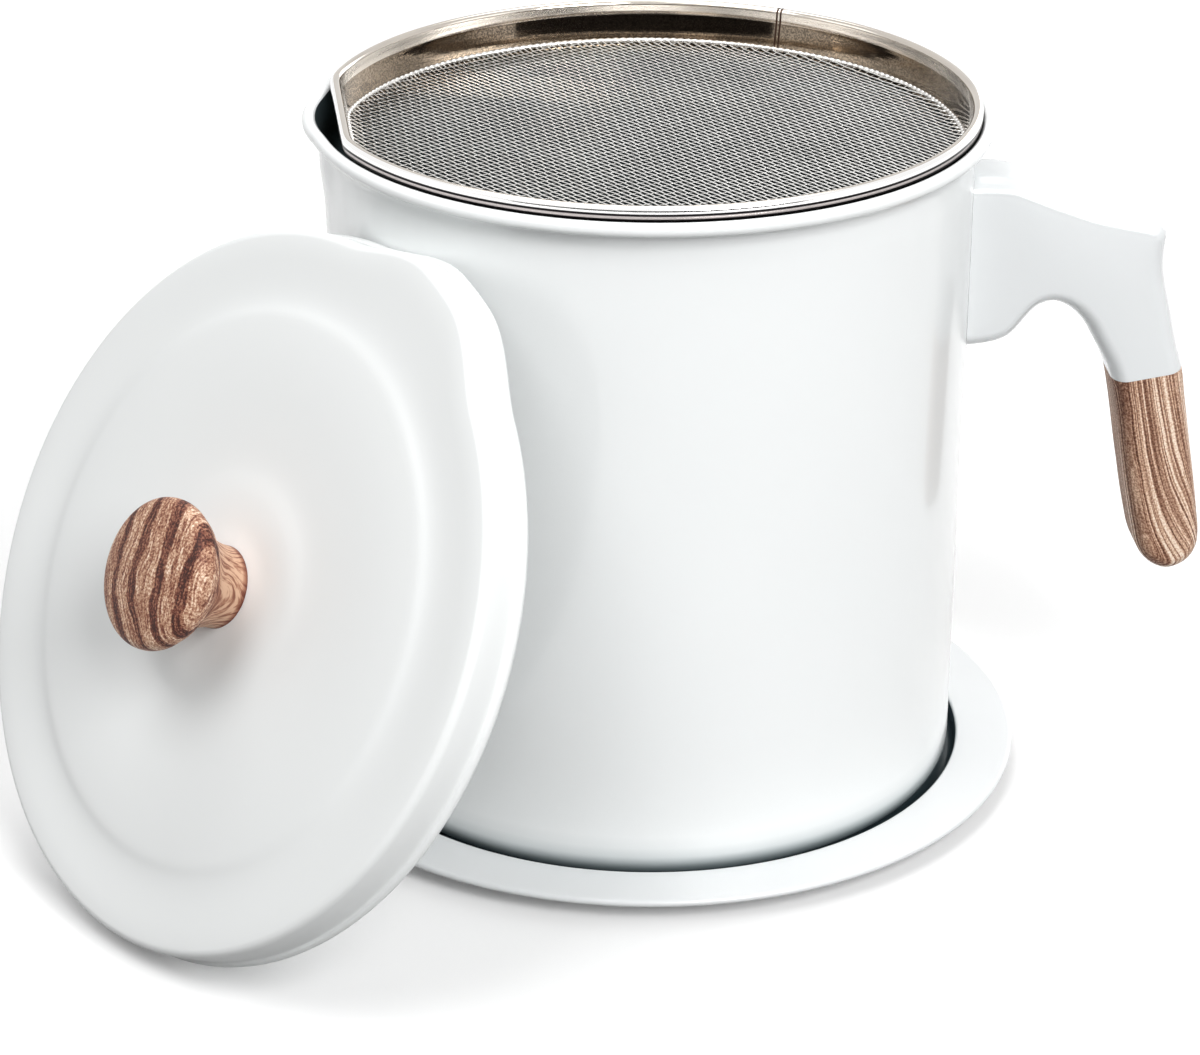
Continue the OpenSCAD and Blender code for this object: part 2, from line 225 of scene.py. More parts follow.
def ramp(nt, fac, stops):
    """Colour ramp through the stops (place, colour)."""
    r = node(nt, "ShaderNodeValToRGB")
    els = r.color_ramp.elements
    while len(els) < len(stops):
        els.new(1.0)
    for el, (pos, col) in zip(els, stops):
        el.position = pos
        el.color = (*col, 1)
    nt.links.new(fac, r.inputs[0])
    return r.outputs[0]


def multiply(nt, a, b):
    """Product of two colours."""
    return node(nt, "ShaderNodeMix", {"Factor": 1.0, "A": a, "B": b}, data_type="RGBA",
                blend_type="MULTIPLY").outputs["Result"]


def combine(nt, *parts):
    """Vector of three sockets, each with its scale."""
    v = node(nt, "ShaderNodeCombineXYZ")
    for i, (s, k) in enumerate(parts):
        nt.links.new(calc(nt, "MULTIPLY", s, k), v.inputs[i])
    return v.outputs[0]


def object_at(nt):
    """The piece's own coordinates, in metres."""
    return node(nt, "ShaderNodeTexCoord").outputs["Object"]


def split(nt, vector):
    """The three parts of a vector, by name."""
    return node(nt, "ShaderNodeSeparateXYZ", {0: vector}).outputs


def surface(nt, b, colour, rough, height=None, strength=0.0, distance=0.0):
    """Links a colour, a roughness and, over a height, a bump to the shader."""
    nt.links.new(colour, b.inputs["Base Color"])
    nt.links.new(rough, b.inputs["Roughness"])
    if height is not None:
        bp = node(nt, "ShaderNodeBump", {"Height": height, "Strength": strength,
                                         "Distance": distance})
        nt.links.new(bp.outputs[0], b.inputs["Normal"])


def srgb(r, g, b):
    """Linear colour of an 8-bit screen colour."""
    def lin(c):
        c /= 255
        return c / 12.92 if c <= 0.04045 else ((c + 0.055) / 1.055) ** 2.4
    return (lin(r), lin(g), lin(b))


# ---------- materials: noise scales are per metre, bump distances in metres ----------
MOTTLE, PEEL, PEEL_DEPTH = 24.0, 420.0, 0.0002
ROLLING, ROLLING_DEPTH, NET_REFLECTION_SPOTS, HEM_HAZE = 60.0, 0.0005, 2600.0, 90.0
FILM_WARP, FILM_SPECKS, FILM_DEPTH = 95.0, 2300.0, 0.0003


def enamel(name, light, dark, rough, coat, peel=0.02, foot=None):
    """Fired enamel or powder coat: faint mottling, slight orange peel, clear gloss.
    foot lists heights with the share of the colour left there, a painted shade that darkens the
    enamel towards the bottom."""
    m, nt, b = principled(name, Roughness=rough, Coat_Weight=coat, Coat_Roughness=0.06,
                          Specular_IOR_Level=0.5)
    obj = object_at(nt)
    colour = ramp(nt, noise(nt, obj, MOTTLE), [(0.3, dark), (0.7, light)])
    if foot:
        z0, z1 = foot[0][0], foot[-1][0]
        at = spread(nt, split(nt, obj)["Z"], z0 * MM, z1 * MM)
        # painted shade: red fades a little faster than blue, so the shaded foot turns cool
        rows = [((z - z0) / (z1 - z0), (k ** 1.12, k, k ** 0.97)) for z, k in foot]
        colour = multiply(nt, colour, ramp(nt, at, rows))
    fine = noise(nt, obj, PEEL)
    uneven = spread(nt, fine, 0, 1, rough * 0.94, rough * 1.06)
    surface(nt, b, colour, uneven, fine, peel, PEEL_DEPTH)
    return m


def steel(name, base, rough, stretch, scratch=0.03, net_reflection=None):
    """Rolled stainless: fine lines along the strip, small changes of roughness, and dots
    of a share of the colour, a painted reflection of the net in the strip."""
    m, nt, b = principled(name, Metallic=1.0, Roughness=rough)
    obj = object_at(nt)
    along = node(nt, "ShaderNodeMapping", {"Vector": obj, "Scale": stretch}).outputs[0]
    lines = noise(nt, along, ROLLING, 4.0)
    colour = ramp(nt, lines, [(0.25, tuple(c * 0.86 for c in base)), (0.75, base)])
    # painted reflection of the net: dots darken the strip's colour
    if net_reflection:
        low, high = net_reflection
        spots = ramp(nt, noise(nt, obj, NET_REFLECTION_SPOTS, 1.0),
                     [(0.38, (low,) * 3), (0.62, (high,) * 3)])
        colour = multiply(nt, colour, spots)
    uneven = spread(nt, lines, 0, 1, rough * 0.7, rough * 1.4)
    surface(nt, b, colour, uneven, lines, scratch, ROLLING_DEPTH)
    return m


def painted_reflection_steel(name, rough):
    """Outer face of the folded hem, painted with light and shade: a painted highlight on the top
    roll, then bands of painted reflection of the dark board and of the floor, and a painted shadow
    along the bottom.
    """
    m, nt, b = principled(name, Metallic=1.0, Roughness=rough)
    obj = object_at(nt)
    at = spread(nt, split(nt, obj)["Z"], (HEM_TOP - HEM_H) * MM, HEM_TOP * MM)
    # painted reflections and shade, bottom to top: shadow of the gap under the hem, the floor, the
    # dark board, then the highlight on the top roll
    black, pink, bright = (0.012, 0.011, 0.012), (0.5, 0.45, 0.44), (0.95, 0.94, 0.93)
    colour = ramp(nt, at, [(0.0, black), (0.31, black), (0.35, pink), (0.46, pink), (0.5, black),
                           (0.6, black), (0.65, bright)])
    haze = noise(nt, obj, HEM_HAZE)
    surface(nt, b, colour, spread(nt, haze, 0, 1, rough * 0.8, rough * 1.2))
    return m


def wood(name, across_at, streak_at, tones, mix, period=None, stem=None, tilt=None):
    """Printed wood film: bands over tan, streaks along them, bright and dark specks.
    across_at builds the coordinate across the bands, and streak_at the stretched one of the
    streaks. mix holds the shares of streaks, specks and bands, the tone they start from, and
    half the range of the noise that the streaks use. period is the bands' width, stem the
    heights between which the paler stem ends, and tilt the places of the darker and the paler
    side and how much they differ, all three in metres."""
    m, nt, b = principled(name, Roughness=0.5, Specular_IOR_Level=0.3)
    streaks, specks, bands, base, half = mix
    obj = object_at(nt)
    xyz = split(nt, obj)
    across = across_at(nt, xyz, noise(nt, obj, FILM_WARP, 1.0))
    streak = noise(nt, streak_at(nt, xyz, across), 1.0, 3.0, 0.65)
    speck = noise(nt, obj, FILM_SPECKS, 1.0, 0.6)
    shade = calc(nt, "MULTIPLY_ADD", spread(nt, streak, 0.5 - half, 0.5 + half), streaks, base)
    shade = calc(nt, "MULTIPLY_ADD", spread(nt, speck, 0.37, 0.63), specks, shade)
    if period:
        wave = calc(nt, "SINE", calc(nt, "MULTIPLY", across, 2 * math.pi / period))
        band = spread(nt, wave, 0.1, 0.9, interpolation_type="SMOOTHSTEP")
        shade = calc(nt, "MULTIPLY_ADD", band, -bands, shade)
    if tilt:
        dark_x, pale_x, amount = tilt
        shade = calc(nt, "ADD", shade, spread(nt, xyz["X"], dark_x, pale_x, -amount, amount))
    if stem:
        # the stem is paler than the head, with sharp dark flow lines; its darker root is a painted
        # shade where the stem meets the lid
        low = spread(nt, xyz["Z"], *stem, 1.0, 0.0)
        flow = spread(nt, streak, 0.39, 0.54, 0.34, 0.72)
        root_shade = spread(nt, xyz["Z"], 0.0002, 0.0016, 0.3, 1.0)
        pale = calc(nt, "MULTIPLY", flow, root_shade)
        shade = node(nt, "ShaderNodeMix", {"Factor": low, "A": shade, "B": pale}).outputs[0]
    colour = ramp(nt, shade, [(i / (len(tones) - 1), srgb(*t)) for i, t in enumerate(tones)])
    surface(nt, b, colour, spread(nt, shade, 0, 1, 0.62, 0.45), shade, 0.2, FILM_DEPTH)
    return m


def knob_across(nt, xyz, blur):
    """Bands run up the leaning knob, a little off its X, in an S."""
    bend = calc(nt, "SINE", calc(nt, "MULTIPLY_ADD", xyz["X"], 230.0, 0.6))
    skew = calc(nt, "MULTIPLY_ADD", xyz["X"], -0.4, xyz["Y"])
    return calc(nt, "MULTIPLY_ADD", blur, 0.006, calc(nt, "MULTIPLY_ADD", bend, 0.0018, skew))


def knob_streak(nt, xyz, across):
    return combine(nt, (across, 2100.0), (xyz["X"], 200.0), (xyz["Z"], 200.0))


def grip_across(nt, xyz, blur):
    """Stripes run down the grip and flare outwards near its end."""
    drop = calc(nt, "MULTIPLY", xyz["Z"], xyz["Z"])
    flare = spread(nt, xyz["X"], -0.007, 0.006, 0.0, -4.5)
    x = calc(nt, "MULTIPLY_ADD", drop, flare, xyz["X"])
    xy = calc(nt, "MULTIPLY_ADD", xyz["Y"], 0.8, x)
    return calc(nt, "MULTIPLY_ADD", blur, 0.0007, xy)


def grip_streak(nt, xyz, across):
    return combine(nt, (across, 3100.0), (xyz["Y"], 60.0), (xyz["Z"], 16.0))


KNOB_TONES = [(52, 26, 20), (108, 59, 46), (158, 112, 88), (208, 171, 143), (248, 228, 208)]
GRIP_TONES = [(80, 47, 34), (128, 88, 68), (174, 136, 112), (222, 187, 160), (252, 234, 216)]
# painted shade low on the pot, where it stands in the tray's well: heights and the share of the
# colour left there
FOOT_SHADE = [(3.2, 0.16), (4.4, 0.3), (5.4, 0.5), (7, 0.76), (9, 0.93), (11.5, 1.0)]
WHITE = enamel("pot_enamel", (0.885, 0.905, 0.905), (0.875, 0.896, 0.897), 0.26, 0.5, 0.01, FOOT_SHADE)
LID_WHITE = enamel("lid_enamel", (0.842, 0.858, 0.855), (0.834, 0.851, 0.848), 0.5, 0.0)
TRAY_WHITE = enamel("tray_enamel", (0.79, 0.807, 0.814), (0.782, 0.8, 0.807), 0.3, 0.4, 0.01)
# painted shade: a dark colour for the tray's shaded well round the pot
TRAY_WELL_SHADE = enamel("tray_well_shade", (0.045, 0.07, 0.082), (0.03, 0.05, 0.06), 0.4, 0.1)
INSIDE = enamel("pot_inside", (0.024, 0.034, 0.037), (0.016, 0.025, 0.028), 0.45, 0.1, 0.05)
ARM_WHITE = enamel("arm_plastic", (0.738, 0.757, 0.764), (0.731, 0.751, 0.759), 0.22, 0.35, 0.01)
STEEL = steel("hem_steel", (0.64, 0.59, 0.53), 0.1, (1, 1, 14), 0.015)
HEM_REFLECTIONS = painted_reflection_steel("hem_painted_reflections", 0.12)
# painted reflection: darker brown steel with dots, for the net and the dark inside that the band
# reflects
BAND_REFLECTION_STEEL = steel("band_painted_reflection", (0.33, 0.265, 0.20), 0.07, (1, 1, 14), 0.02, (0.45, 1.0))
NET_STEEL = steel("net_steel", (0.82, 0.81, 0.79), 0.26, (1, 1, 1))
SEAM_BROWN = steel("seam_oxide", (0.06, 0.035, 0.025), 0.4, (1, 1, 6))
PLAIN_STEEL = steel("fixing_steel", (0.72, 0.71, 0.69), 0.3, (1, 1, 6))
BRASS = steel("insert_brass", (0.78, 0.6, 0.3), 0.3, (1, 1, 6))
KNOB_WOOD = wood("knob_wood", knob_across, knob_streak, KNOB_TONES,
                 (0.5, 0.38, 0.44, 0.12, 0.14), period=0.0066, stem=(0.008, 0.0115))
GRIP_WOOD = wood("grip_wood", grip_across, grip_streak, GRIP_TONES,
                 (0.76, 0.32, 0.0, -0.03, 0.11), tilt=(-0.009, 0.009, 0.08))

# ---------- pot ----------
# how the lip grows up the wall: share of its run, share of its reach
BULGE = [(0, 0), (0.25, 0.3), (0.5, 0.62), (0.7, 0.95), (0.84, 1.5), (1, 1.75)]
# angles of the rings' points, closer together round the lip and the strainer's flat
ANG = np.concatenate([np.arange(-30, 30, 0.75), np.arange(30, 330, 1.25)])
N = len(ANG)


def pot_profile():
    """Rows of the sheet, outside and inside: radius, height and share of the lip's reach."""
    rb, rd = BASE_R, BASE_ROUND
    z1, zl = RIM_Z - 6, RIM_Z - LIP_RUN
    outer = (arc(rb - rd, BASE_Z + rd, rd, -90, 0, 8, 0)
             + [(rb, BASE_Z + 7, 0), (POT_R - 0.1, zl - 30, 0)]
             + [(POT_R, zl + (z1 - zl) * t, k) for t, k in BULGE]
             + [(POT_R + 0.15, z1 + 1.6, 1.7), (POT_R + 0.6, z1 + 3.1, 1.5),
                (POT_R + 1.25, z1 + 4.3, 1.2)]
             + arc(RIM_C, RIM_Z, BEAD_R, -120, 150, 12, 1))
    inner = ([(RIM_C - BEAD_R + 0.02, RIM_Z + 0.1, 1), (POT_R + 0.75, z1 + 5.2, 1.1),
              (POT_R + 0.2, z1 + 4.1, 1.3), (POT_R - 0.35, z1 + 2.7, 1.55)]
             + [(IN_R, zl + (z1 - zl) * t, k) for t, k in BULGE[::-1]]
             + [(rb - WALL, BASE_Z + 7, 0)]
             + arc(rb - rd, BASE_Z + rd, rd - WALL, 0, -90, 8, 0))
    return outer, inner


def lipped(rows, ang):
    """Rings of points of profile rows carried round the pot with its lip."""
    grow = nose(ang, RIM_C + BEAD_R, LIP_REACH, LIP_NOSE) - RIM_C - BEAD_R
    r = rows[:, 0:1] + rows[:, 2:3] * grow[None]
    c, s = np.cos(np.radians(ang)), np.sin(np.radians(ang))
    return np.stack([-r * c, -r * s, rows[:, 1:2] + 0 * r], -1)


def build_pot():
    outer, inner = pot_profile()
    a, b = refine(outer, 4), refine(inner, 3)
    m = len(a) + len(b)
    verts, faces = capped(lipped(np.vstack([a, b]), ANG), BASE_Z, BASE_Z + WALL)
    mat = [int(j >= len(a) - 1) for j in range(m - 1) for _ in range(N)] + [0] * N + [1] * N
    o = mesh_object("pot_shell", verts, faces, [WHITE, INSIDE], face_mats=mat)
    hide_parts("pot_body")
    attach(o, "pot")


# ---------- tray ----------
def build_tray():
    n = 360
    ri, edge = BASE_R + TRAY_GAP, TRAY_R - TRAY_EDGE
    under = TRAY_H - TRAY_T
    rows = (arc(ri - 1.6, 2.4, 2.4, -85, -15, 8)
            + [(ri + 0.95, under - 0.6), (ri + 1.4, under - 0.02), (edge - 1.6, under)]
            + arc(edge, TRAY_H - TRAY_EDGE, TRAY_EDGE, -95, 90, 10)
            + [(edge - 1.5, TRAY_H), (ri + 1.6, TRAY_H)]
            + arc(ri + 0.75, TRAY_H - 0.6, 0.6, 90, 170, 6))
    well = len(rows) - 1
    rows += [(ri - 0.1, TRAY_T + 1.4)] + arc(ri - 1.6, TRAY_T + 1.5, 1.5, -15, -90, 8)
    verts, faces = capped(revolve(rows, n), 0, TRAY_T)
    # the well that the pot stands in is painted dark, a painted shade of the narrow gap round the
    # pot's base
    mat = [int(j >= well) for j in range(len(rows) - 1) for _ in range(n)] + [0] * n + [1] * n
    o = mesh_object("tray_plate", verts, faces, [TRAY_WHITE, TRAY_WELL_SHADE], face_mats=mat)
    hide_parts("tray")
    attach(o, "tray")


# ---------- strainer ----------
# inner side of the band from the hem down, as radius and height
BAND_INSIDE = [(HEM_C - 1.1, HEM_Z + 0.3), (HEM_C - 1.55, HEM_Z - 2.1),
               (HEM_C - 2.25, BAND_Z + 3.4), (HEM_C - 2.25, BAND_Z)]


def dee_rings(rows, ang):
    """Rings of points of profile rows carried round the strainer's D."""
    r = np.stack([dee(ang, p[0], FLAT_IN) for p in rows])
    a = np.radians(ang + TURN)
    return np.stack([-r * np.cos(a), -r * np.sin(a), rows[:, 1:2] + 0 * a], -1)


def build_band():
    c = HEM_C
    rows = ([(c - 1.8, BAND_Z), (c - 1.8, BAND_Z + 3.4), (c - 1.2, HEM_Z - 2),
             (c - 0.85, HEM_Z - 0.75)]
            + arc(c, HEM_Z, HEM_R, -110, 0, 6) + arc(c, HEM_TOP - HEM_R, HEM_R, 0, 180, 10)
            + BAND_INSIDE)
    path = refine(rows, 3, True)
    rings = dee_rings(path, ANG)
    # the band under the hem is darker and browner than the polished hem, a painted reflection of
    # the net and the pot's dark inside; the hem's outer face carries painted reflections and shade
    which = [2 if r > c + 0.45 and z > HEM_Z - 1 else int(z < HEM_Z - 0.2)
             for r, z in path[:, :2] for _ in range(N)]
    o = mesh_object("strainer_ring", rings.reshape(-1, 3), ring_faces(N, len(rings), True),
                    [STEEL, BAND_REFLECTION_STEEL, HEM_REFLECTIONS], face_mats=which)
    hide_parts("strainer_band")
    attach(o, "strainer")


SEAM_AT, SEAM_APART = 60.0, 0.42    # degrees from the handle, half the lines' distance
SEAM_SECTION = ((-0.05, 0.24), (0.08, 0.18))    # a line's height on the band and half width


def build_seam():
    """The ring's lapped joint: two dark lines down its inner side and over its hem."""
    path = refine(arc(HEM_C, HEM_TOP - HEM_R, HEM_R, 60, 180, 6) + BAND_INSIDE, 2)
    n = len(path)
    d = np.gradient(path, axis=0)
    d /= np.linalg.norm(d, axis=1)[:, None]
    out = np.stack([d[:, 1], -d[:, 0]], 1)
    verts, faces = [], []
    for side in (-1, 1):
        start = len(verts)
        for lift, half in SEAM_SECTION:
            q = path + out * lift * np.sign(out[-1] @ (-1, 0))
            for edge in (-1, 1):
                a = math.radians(SEAM_AT) + (side * SEAM_APART + edge * half) / HEM_C
                verts.extend((r * math.cos(a), r * math.sin(a), z) for r, z in q)
        strip = [start, start + 2 * n, start + 3 * n, start + n]
        for a0, b0 in zip(strip, strip[1:] + strip[:1]):
            faces += [(a0 + i, b0 + i, b0 + i + 1, a0 + i + 1) for i in range(n - 1)]
        faces += [tuple(strip[::-1]), tuple(k + n - 1 for k in strip)]
    o = mesh_object("strainer_seam", verts, faces, [SEAM_BROWN])
    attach(o, "strainer")


# the net has a close and a wide set of wires: distance, thickness and sides of each
NET_PITCH, WIRE_D, WIRE_SIDES = (1.25, 2.0), (0.36, 0.15), (5, 4)
NET_ANGLE = -56.0                   # direction of the close set, degrees from the handle
CRIMP, NET_LIFT = 0.05, 0.25        # rise and fall of a wire, height above the CAD's net
EDGE_RISE, EDGE_RUN, EDGE_CURVE = 0.55, 2.6, 1.6    # how the net's edge turns up
WIRE_END, SHORTEST = 0.05, 4        # space left at a wire's ends, fewest points of a wire
BEADS, BEAD, BEAD_WAVE, BEAD_LIFT = 250, 0.5, 0.09, 0.75    # the beaded ring at the edge


def wire(verts, faces, path, across, d, sides):
    """Adds a round wire along a path, its section upright across it."""
    along = np.gradient(path, axis=0)
    along /= np.linalg.norm(along, axis=1)[:, None]
    up = np.cross(along, across)
    start, n = len(verts), len(path)
    for s in range(sides):
        q = 2 * math.pi * (s + 0.5) / sides
        verts.extend(path + d / 2 * (math.cos(q) * across + math.sin(q) * up))
    for s in range(sides):
        a0, b0 = start + s * n, start + ((s + 1) % sides) * n
        faces.extend((a0 + j, b0 + j, b0 + j + 1, a0 + j + 1) for j in range(n - 1))
    faces.append(tuple(start + s * n for s in reversed(range(sides))))
    faces.append(tuple(start + s * n + n - 1 for s in range(sides)))


def build_net():
    """Plain weave, the wires over and under each other in turn, and its turned-up edge."""
    edge_r = HEM_C - 2.3
    verts, faces = [], []
    for which in (0, 1):
        pitch, cross = NET_PITCH[which], NET_PITCH[1 - which]
        d = math.radians(NET_ANGLE + 90 * which)
        u, v = np.array([math.cos(d), math.sin(d)]), np.array([-math.sin(d), math.cos(d)])
        k, reach = int(edge_r / pitch), int(2 * edge_r / cross) + 2
        t = np.arange(-reach, reach + 1) * cross / 2
        for i in range(-k, k + 1):
            xy = t[:, None] * u + i * pitch * v * (1 if which == 0 else -1)
            at = np.degrees(np.arctan2(-xy[:, 1], -xy[:, 0])) - TURN
            gap = dee(at, edge_r, FLAT_IN) - np.hypot(xy[:, 0], xy[:, 1])
            keep = gap > WIRE_END
            if keep.sum() < SHORTEST:
                continue
            xy, tt, gap = xy[keep], t[keep], gap[keep]
            phase = np.cos(np.pi * (tt / cross + i + which))
            rise = EDGE_RISE * (1 - np.clip(gap / EDGE_RUN, 0, 1)) ** EDGE_CURVE
            z = NET_Z + NET_LIFT + CRIMP * phase + rise
            wire(verts, faces, np.stack([xy[:, 0], xy[:, 1], z], 1),
                 np.array([v[0], v[1], 0.0]), WIRE_D[which], WIRE_SIDES[which])
    # the edge ring, with a row of beads where the wires end
    a = np.arange(0, 360, 0.36)
    bead = BEAD + BEAD_WAVE * np.cos(np.radians(a * BEADS))
    r = dee(a - TURN, edge_r + 0.1, FLAT_IN)
    start, sides = len(verts), 8
    for s in range(sides):
        q = 2 * math.pi * s / sides
        rr, z = r + bead * math.cos(q), NET_Z + BEAD_LIFT + bead * math.sin(q)
        verts.extend(np.stack([-rr * np.cos(np.radians(a)), -rr * np.sin(np.radians(a)), z], 1))
    faces.extend(ring_faces(len(a), sides, True, start))
    o = mesh_object("woven_net", verts, faces, [NET_STEEL])
    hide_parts("strainer_mesh")
    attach(o, "strainer")


# ---------- lid ----------
def lid_matrix():
    """The lid stands on the floor on its edge and leans on the pot's wall."""
    rc = LID_R - EDGE_R
    ln = math.radians(LEAN)
    rho = POT_R + LEAN_GAP + EDGE_R + rc * math.sin(ln)
    return (Matrix.Rotation(math.radians(LEAN_SIDE), 4, "Z")
            @ Matrix.Translation((rho * MM, 0, (EDGE_R + rc * math.cos(ln)) * MM))
            @ Matrix.Rotation(math.radians(90 - LEAN), 4, "Y")
            @ Matrix.Translation((0, 0, -EDGE_R * MM)))


def lid_profile():
    """Rows of the sheet, all round: radius, height and share of the bulge over the lip."""
    t, s, b, k = WALL, LID_R - 0.9, LID_R - EDGE_R, LID_CORNER
    face = [(KNOB_BORE, KNOB_Z - 0.05, 0), (10, KNOB_Z - 0.05, 0), (18.5, KNOB_Z - 0.05, 0),
            (20.5, KNOB_Z - 0.2, 0), (23, KNOB_Z - 0.42, 0), (30, LID_H + 0.82, 0),
            (51, LID_H + 0.8, 0), (53, LID_H + 0.62, 0.05), (55, LID_H + 0.2, 0.15),
            (57, LID_H, 0.25), (62, LID_H, 0.7)]
    skirt = (arc(s - k, LID_H - k, k, 90, 0, 6, 1.1) + [(s, 3.4, 1.05), (s, 2.6, 1)]
             + arc(b, EDGE_R, EDGE_R, 72, -190, 10, 1) + [(s - t, 3.6, 1.05)]
             + arc(s - k, LID_H - k, k - t, 0, 90, 5, 1.1))
    return face + skirt + [(r, z - t, share) for r, z, share in face[::-1]]


def build_lid():
    rows = refine(lid_profile(), 3, True)
    r = rows[:, 0:1] + rows[:, 2:3] * COVER_REACH * bump(ANG)[None]
    t = np.radians(ANG + 180 - LID_TURN)
    rings = np.stack([r * np.cos(t), r * np.sin(t), rows[:, 1:2] + 0 * t], -1)
    faces = [f[::-1] for f in ring_faces(N, len(rings), True)]
    o = mesh_object("lid_cover", rings.reshape(-1, 3), faces, [LID_WHITE])
    place(o, lid_matrix())
    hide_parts("lid_shell")
    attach(o, "lid")


# the knob's side: how far outside the foot's radius, or inside the head's, and share of height
STEM = [(0, 0), (0, 0.08), (0.15, 0.16), (0.6, 0.26), (1.3, 0.36), (2.3, 0.45), (3.6, 0.54),
        (5, 0.61)]
HEAD = [(0.8, 0.67), (0.2, 0.72), (0, 0.78), (0.2, 0.84), (0.9, 0.89), (2.4, 0.925), (5, 0.955),
        (8, 0.98), (11, 0.995)]


def build_knob():
    rows = [(FOOT_R + x, KNOB_H * z) for x, z in STEM] + [(KNOB_R - x, KNOB_H * z) for x, z in HEAD]
    verts, faces = capped(revolve(refine(rows, 4), 144), 0, KNOB_H)
    o = mesh_object("knob_turned", verts, faces, [KNOB_WOOD])
    place(o, lid_matrix() @ Matrix.Translation((0, 0, KNOB_Z * MM)))
    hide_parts("knob")
    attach(o, "lid")


# ---------- handle ----------
# side outline of arm and grip, as distance from the wall and height above the handle's top
SIDE = [(-10, 0), (-4, 0), (2, 0), (5.5, -0.1), (8.5, -0.6), (11, -1.5), (13.5, -2.6), (16.5, -3.8),
        (20, -5.1), (24, -6.6), (28, -7.7), (32, -8.6), (35.7, -9.4), (38.3, -10.5), (39.7, -12.7),
        (39.6, -15.7), (39.5, -19.1), (39.9, -22.3), (40.7, -25.7), (41.6, -29.5), (42.5, -33.5),
        (43.6, -37.8), (44.9, -42.3), (45.9, -48.5), (47, -55), (48.1, -61.5), (49.2, -68),
        (50.2, -74.5), (50.8, -79), (50.6, -82.2), (49.2, -84.9), (46.8, -86.7), (44, -87.3),
        (41.2, -86.3), (39, -84.2), (37.7, -81.5), (36.8, -78), (35.6, -72.5), (34.5, -66.5),
        (33.4, -60.5), (32.4, -54.5), (31.4, -49), (30.4, -44.5), (29.2, -41.3), (27.7, -38.4),
        (26, -35.3), (24.2, -32.1), (22, -29.5), (19.5, -27.7), (17, -27), (14.5, -27.7),
        (12.4, -29.7), (10.5, -32.2), (8.6, -34.1), (6, -35.3), (3, -35.9), (-1, -36.2),
        (-4, -36.2), (-10, -36.2)]
ROUND_W, ROUND_H = HANDLE_W * 0.29, HANDLE_W * 0.19     # rounding of its two long edges
ROUND_STEPS = (90, 80, 70, 58, 46, 34, 22, 11, 0)       # degrees
SHARP_ABOVE = 38                                        # degrees between faces


def handle_bmesh():
    """The side outline stacked across the handle's width, its edges rounded off."""
    o = refine([(POT_R + x, HANDLE_TOP + z) for x, z in SIDE], 3)
    n = len(o)
    d = np.roll(o, -1, 0) - np.roll(o, 1, 0)
    d /= np.linalg.norm(d, axis=1)[:, None]
    nrm = np.stack([d[:, 1], -d[:, 0]], 1)
    half = [(HANDLE_W / 2 - ROUND_W + ROUND_W * math.sin(a), ROUND_H * (1 - math.cos(a)))
            for a in np.radians(ROUND_STEPS)]
    rows = [(-y, inset) for y, inset in half] + half[::-1]
    bm = bmesh.new()
    rings = []
    for y, inset in rows:
        q = o + nrm * inset
        rings.append([bm.verts.new(Vector((a, y, b)) * MM) for a, b in q])
    for r0, r1 in zip(rings, rings[1:]):
        for i in range(n):
            bm.faces.new((r0[i], r0[(i + 1) % n], r1[(i + 1) % n], r1[i]))
    bm.faces.new(rings[0][::-1])
    bm.faces.new(rings[-1])
    bmesh.ops.recalc_face_normals(bm, faces=bm.faces)
    return bm


def joint_matrix():
    """Where the grip meets the arm, with Z along the grip."""
    return (Matrix.Translation((JOINT_X * MM, 0, JOINT_Z * MM))
            @ Matrix.Rotation(math.radians(-GRIP_TILT), 4, "Y"))


def cut_handle(name, keep_above, mat):
    """The part of the handle above or below the joint. The arm is also cut off at the wall."""
    bm = handle_bmesh()
    jm = joint_matrix()
    up = jm.to_3x3() @ Vector((0, 0, 1))
    co = jm.translation - up * (GRIP_GAP * MM if not keep_above else 0)
    cut = bmesh.ops.bisect_plane(bm, geom=bm.verts[:] + bm.edges[:] + bm.faces[:], plane_co=co,
                                 plane_no=up, clear_outer=not keep_above, clear_inner=keep_above)
    edges = [e for e in cut["geom_cut"] if isinstance(e, bmesh.types.BMEdge)]
    bmesh.ops.triangle_fill(bm, edges=edges, use_beauty=True)
    if keep_above:
        wall = (POT_R + WALL_GAP) * MM
        for v in bm.verts:
            if math.hypot(v.co.x, v.co.y) < wall:
                v.co.x = math.sqrt(wall ** 2 - v.co.y ** 2)
    bmesh.ops.recalc_face_normals(bm, faces=bm.faces)
    me = bpy.data.meshes.new(name)
    bm.to_mesh(me)
    bm.free()
    me.materials.append(mat)
    o = bpy.data.objects.new(name, me)
    bpy.context.scene.collection.objects.link(o)
    me.polygons.foreach_set("use_smooth", np.full(len(me.polygons), True))
    me.set_sharp_from_angle(angle=math.radians(SHARP_ABOVE))
    return o


def build_handle():
    arm = cut_handle("arm_moulding", True, ARM_WHITE)
    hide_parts("handle_arm")
    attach(arm, "pot")
    grip = cut_handle("grip_sleeve", False, GRIP_WOOD)
    jm = joint_matrix()
    grip.data.transform(jm.inverted())
    place(grip, jm)
    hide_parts("handle_grip")
    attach(grip, "pot")


build_pot()
build_tray()
build_band()
build_seam()
build_net()
build_lid()
build_knob()
build_handle()

# CAD nodes that are carried over as they are
for name, mat in {"handle_bracket": PLAIN_STEEL, "handle_screw": PLAIN_STEEL,
                  "knob_screw": PLAIN_STEEL, "knob_washer": PLAIN_STEEL,
                  "knob_insert": BRASS, "strainer_hoop": STEEL}.items():
    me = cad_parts[name].data
    me.materials.clear()
    me.materials.append(mat)

